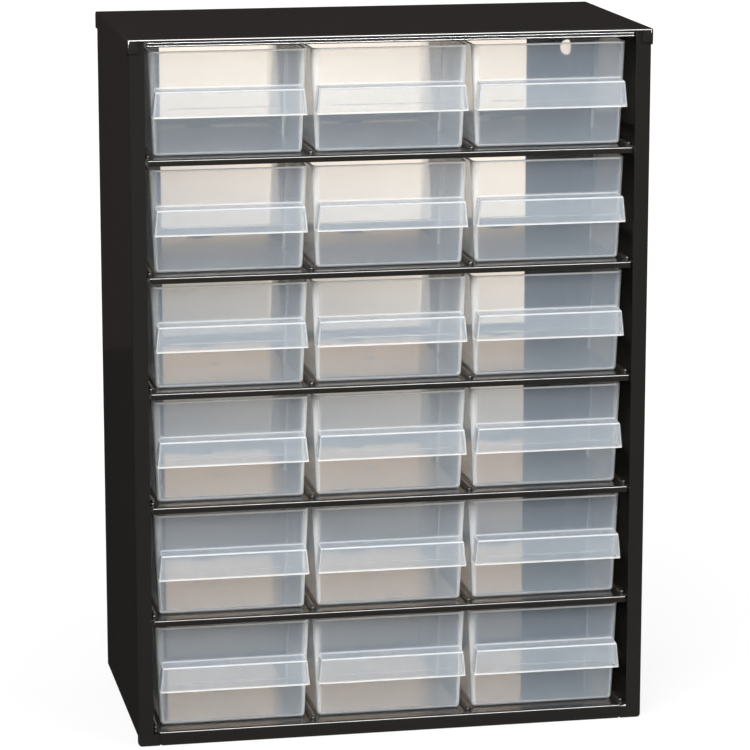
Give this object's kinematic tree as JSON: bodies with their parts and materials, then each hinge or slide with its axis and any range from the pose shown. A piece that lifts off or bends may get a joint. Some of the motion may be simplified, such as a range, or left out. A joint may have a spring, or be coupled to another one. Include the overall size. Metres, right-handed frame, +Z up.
{
  "type": "parts bin cabinet",
  "caption": "Free-standing or wall-hung sheet-steel parts cabinet, open at the back, with rows of clear pull-out storage bins on folded shelves.",
  "frame": {"origin": "on the floor, under the middle of the cabinet", "axes": "+Z up, +X to the right seen from the front, +Y to the back; the bins pull out towards -Y"},
  "size_m": [0.306, 0.155, 0.415],
  "materials": {
    "casing_steel": "smooth gloss black enamel over folded steel sheet",
    "bin_plastic": "clear, slightly milky injection-moulded polypropylene"
  },
  "bodies": {
    "casing": {"left_side": "casing_steel", "right_side": "casing_steel", "base_tray": "casing_steel", "top_panel": "casing_steel", "top_cap": "casing_steel", "shelf_1": "casing_steel", "shelf_2": "casing_steel", "shelf_3": "casing_steel", "shelf_4": "casing_steel", "shelf_5": "casing_steel"},
    "bin_r1_c1": {"bin_r1_c1": "bin_plastic"},
    "bin_r1_c2": {"bin_r1_c2": "bin_plastic"},
    "bin_r1_c3": {"bin_r1_c3": "bin_plastic"},
    "bin_r2_c1": {"bin_r2_c1": "bin_plastic"},
    "bin_r2_c2": {"bin_r2_c2": "bin_plastic"},
    "bin_r2_c3": {"bin_r2_c3": "bin_plastic"},
    "bin_r3_c1": {"bin_r3_c1": "bin_plastic"},
    "bin_r3_c2": {"bin_r3_c2": "bin_plastic"},
    "bin_r3_c3": {"bin_r3_c3": "bin_plastic"},
    "bin_r4_c1": {"bin_r4_c1": "bin_plastic"},
    "bin_r4_c2": {"bin_r4_c2": "bin_plastic"},
    "bin_r4_c3": {"bin_r4_c3": "bin_plastic"},
    "bin_r5_c1": {"bin_r5_c1": "bin_plastic"},
    "bin_r5_c2": {"bin_r5_c2": "bin_plastic"},
    "bin_r5_c3": {"bin_r5_c3": "bin_plastic"},
    "bin_r6_c1": {"bin_r6_c1": "bin_plastic"},
    "bin_r6_c2": {"bin_r6_c2": "bin_plastic"},
    "bin_r6_c3": {"bin_r6_c3": "bin_plastic"}
  },
  "joints": [
    {"name": "slide_r1_c1", "type": "slide", "parent": "casing", "child": "bin_r1_c1", "axis": [0, -1, 0], "range_m": [0, 0.1211]},
    {"name": "slide_r1_c2", "type": "slide", "parent": "casing", "child": "bin_r1_c2", "axis": [0, -1, 0], "range_m": [0, 0.1211]},
    {"name": "slide_r1_c3", "type": "slide", "parent": "casing", "child": "bin_r1_c3", "axis": [0, -1, 0], "range_m": [0, 0.1211]},
    {"name": "slide_r2_c1", "type": "slide", "parent": "casing", "child": "bin_r2_c1", "axis": [0, -1, 0], "range_m": [0, 0.1211]},
    {"name": "slide_r2_c2", "type": "slide", "parent": "casing", "child": "bin_r2_c2", "axis": [0, -1, 0], "range_m": [0, 0.1211]},
    {"name": "slide_r2_c3", "type": "slide", "parent": "casing", "child": "bin_r2_c3", "axis": [0, -1, 0], "range_m": [0, 0.1211]},
    {"name": "slide_r3_c1", "type": "slide", "parent": "casing", "child": "bin_r3_c1", "axis": [0, -1, 0], "range_m": [0, 0.1211]},
    {"name": "slide_r3_c2", "type": "slide", "parent": "casing", "child": "bin_r3_c2", "axis": [0, -1, 0], "range_m": [0, 0.1211]},
    {"name": "slide_r3_c3", "type": "slide", "parent": "casing", "child": "bin_r3_c3", "axis": [0, -1, 0], "range_m": [0, 0.1211]},
    {"name": "slide_r4_c1", "type": "slide", "parent": "casing", "child": "bin_r4_c1", "axis": [0, -1, 0], "range_m": [0, 0.1211]},
    {"name": "slide_r4_c2", "type": "slide", "parent": "casing", "child": "bin_r4_c2", "axis": [0, -1, 0], "range_m": [0, 0.1211]},
    {"name": "slide_r4_c3", "type": "slide", "parent": "casing", "child": "bin_r4_c3", "axis": [0, -1, 0], "range_m": [0, 0.1211]},
    {"name": "slide_r5_c1", "type": "slide", "parent": "casing", "child": "bin_r5_c1", "axis": [0, -1, 0], "range_m": [0, 0.1211]},
    {"name": "slide_r5_c2", "type": "slide", "parent": "casing", "child": "bin_r5_c2", "axis": [0, -1, 0], "range_m": [0, 0.1211]},
    {"name": "slide_r5_c3", "type": "slide", "parent": "casing", "child": "bin_r5_c3", "axis": [0, -1, 0], "range_m": [0, 0.1211]},
    {"name": "slide_r6_c1", "type": "slide", "parent": "casing", "child": "bin_r6_c1", "axis": [0, -1, 0], "range_m": [0, 0.1211]},
    {"name": "slide_r6_c2", "type": "slide", "parent": "casing", "child": "bin_r6_c2", "axis": [0, -1, 0], "range_m": [0, 0.1211]},
    {"name": "slide_r6_c3", "type": "slide", "parent": "casing", "child": "bin_r6_c3", "axis": [0, -1, 0], "range_m": [0, 0.1211]}
  ]
}
